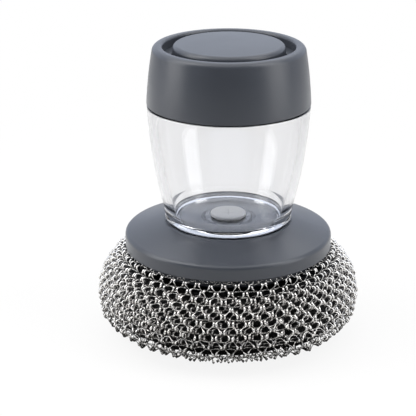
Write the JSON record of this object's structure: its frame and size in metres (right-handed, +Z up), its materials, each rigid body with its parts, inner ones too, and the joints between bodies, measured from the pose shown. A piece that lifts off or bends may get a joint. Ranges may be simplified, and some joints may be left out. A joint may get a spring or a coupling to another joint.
{
  "type": "soap dispensing scrubber",
  "caption": "Palm scrubber with a pad of steel ring mesh under a flange, a clear soap reservoir and a push-button pump cap.",
  "frame": {"origin": "centre of the pad's flat underside, on the surface that it stands on", "axes": "+Z up along the turning axis, from the pad to the button; the quick threads' ribs begin at +X"},
  "size_m": [0.08, 0.08, 0.0918],
  "materials": {
    "ring_steel": "satin",
    "bright_steel": "polished",
    "slate_plastic": "satin",
    "dark_silicone": "matte",
    "clear_plastic": "gloss",
    "white_silicone": "satin",
    "natural_plastic": "satin"
  },
  "bodies": {
    "base": {"outer_sleeve": "ring_steel", "inner_wad": "ring_steel", "tie_wire": "bright_steel", "base_flange": "slate_plastic", "clamp_plate": "slate_plastic", "clamp_screws": "bright_steel"},
    "nipple_seal": {"nipple_ring": "dark_silicone"},
    "reservoir": {"reservoir": "clear_plastic", "slit_valve": "white_silicone"},
    "cap_seal": {"cap_gasket": "dark_silicone"},
    "cap": {"cap_shell": "slate_plastic", "pump_cup": "natural_plastic", "return_spring": "bright_steel"},
    "button": {"push_button": "slate_plastic", "piston_ring": "dark_silicone"}
  },
  "joints": [
    {"name": "reservoir_rise", "type": "slide", "parent": "base", "child": "nipple_seal", "axis": [0, 0, 1], "range_m": [0, 0.002]},
    {"name": "reservoir_turn", "type": "hinge", "parent": "nipple_seal", "child": "reservoir", "pos_m": [0, 0, 0.03635], "axis": [0, 0, 1], "range_deg": [0, 80]},
    {"name": "cap_rise", "type": "slide", "parent": "reservoir", "child": "cap_seal", "axis": [0, 0, 1], "range_m": [0, 0.002]},
    {"name": "cap_turn", "type": "hinge", "parent": "cap_seal", "child": "cap", "pos_m": [0, 0, 0.07335], "axis": [0, 0, 1], "range_deg": [0, 80]},
    {"name": "button_press", "type": "slide", "parent": "cap", "child": "button", "axis": [0, 0, -1], "range_m": [0, 0.0045], "stiffness_N_per_m": 350, "springref_m": -0.004, "deforming": ["return_spring"]}
  ],
  "couplings": [
    {"joint": "reservoir_rise", "follows": "reservoir_turn", "m_per_rad": 0.0014324},
    {"joint": "cap_rise", "follows": "cap_turn", "m_per_rad": 0.0014324}
  ]
}
